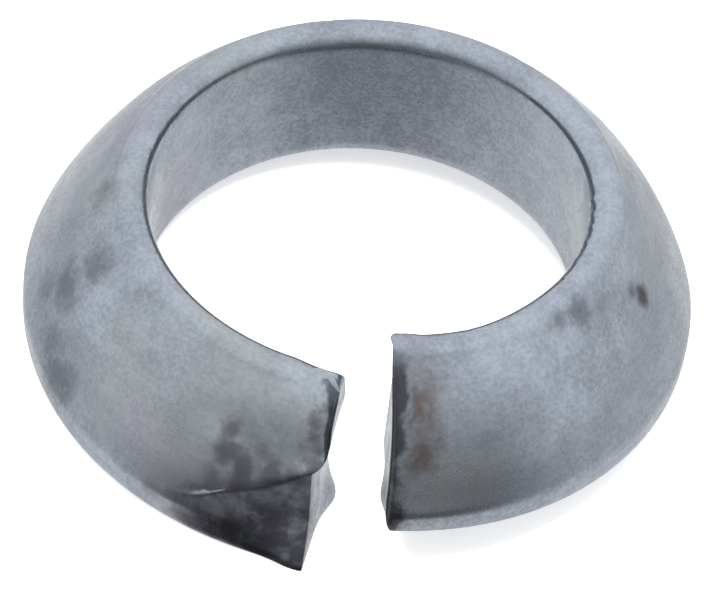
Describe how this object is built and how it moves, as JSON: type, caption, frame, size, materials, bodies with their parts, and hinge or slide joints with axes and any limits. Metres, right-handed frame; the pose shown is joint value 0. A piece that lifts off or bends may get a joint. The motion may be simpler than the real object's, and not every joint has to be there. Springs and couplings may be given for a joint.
{
  "type": "conical spring washer",
  "caption": "Split conical spring washer for a wheel stud: a coiled ring of wedge-section steel with a plain bore.",
  "frame": {"origin": "on the bore axis, level with the lowest edge of the wide seat", "axes": "+Z along the bore from the wide seat to the narrow rim, with the gap between the wire ends facing -Y"},
  "size_m": [0.0286, 0.0286, 0.0092],
  "materials": {
    "zinc_plated_steel": "bluish zinc plating, satin, with dark handling marks"
  },
  "bodies": {
    "root": {"spring_washer": "zinc_plated_steel"}
  },
  "joints": []
}
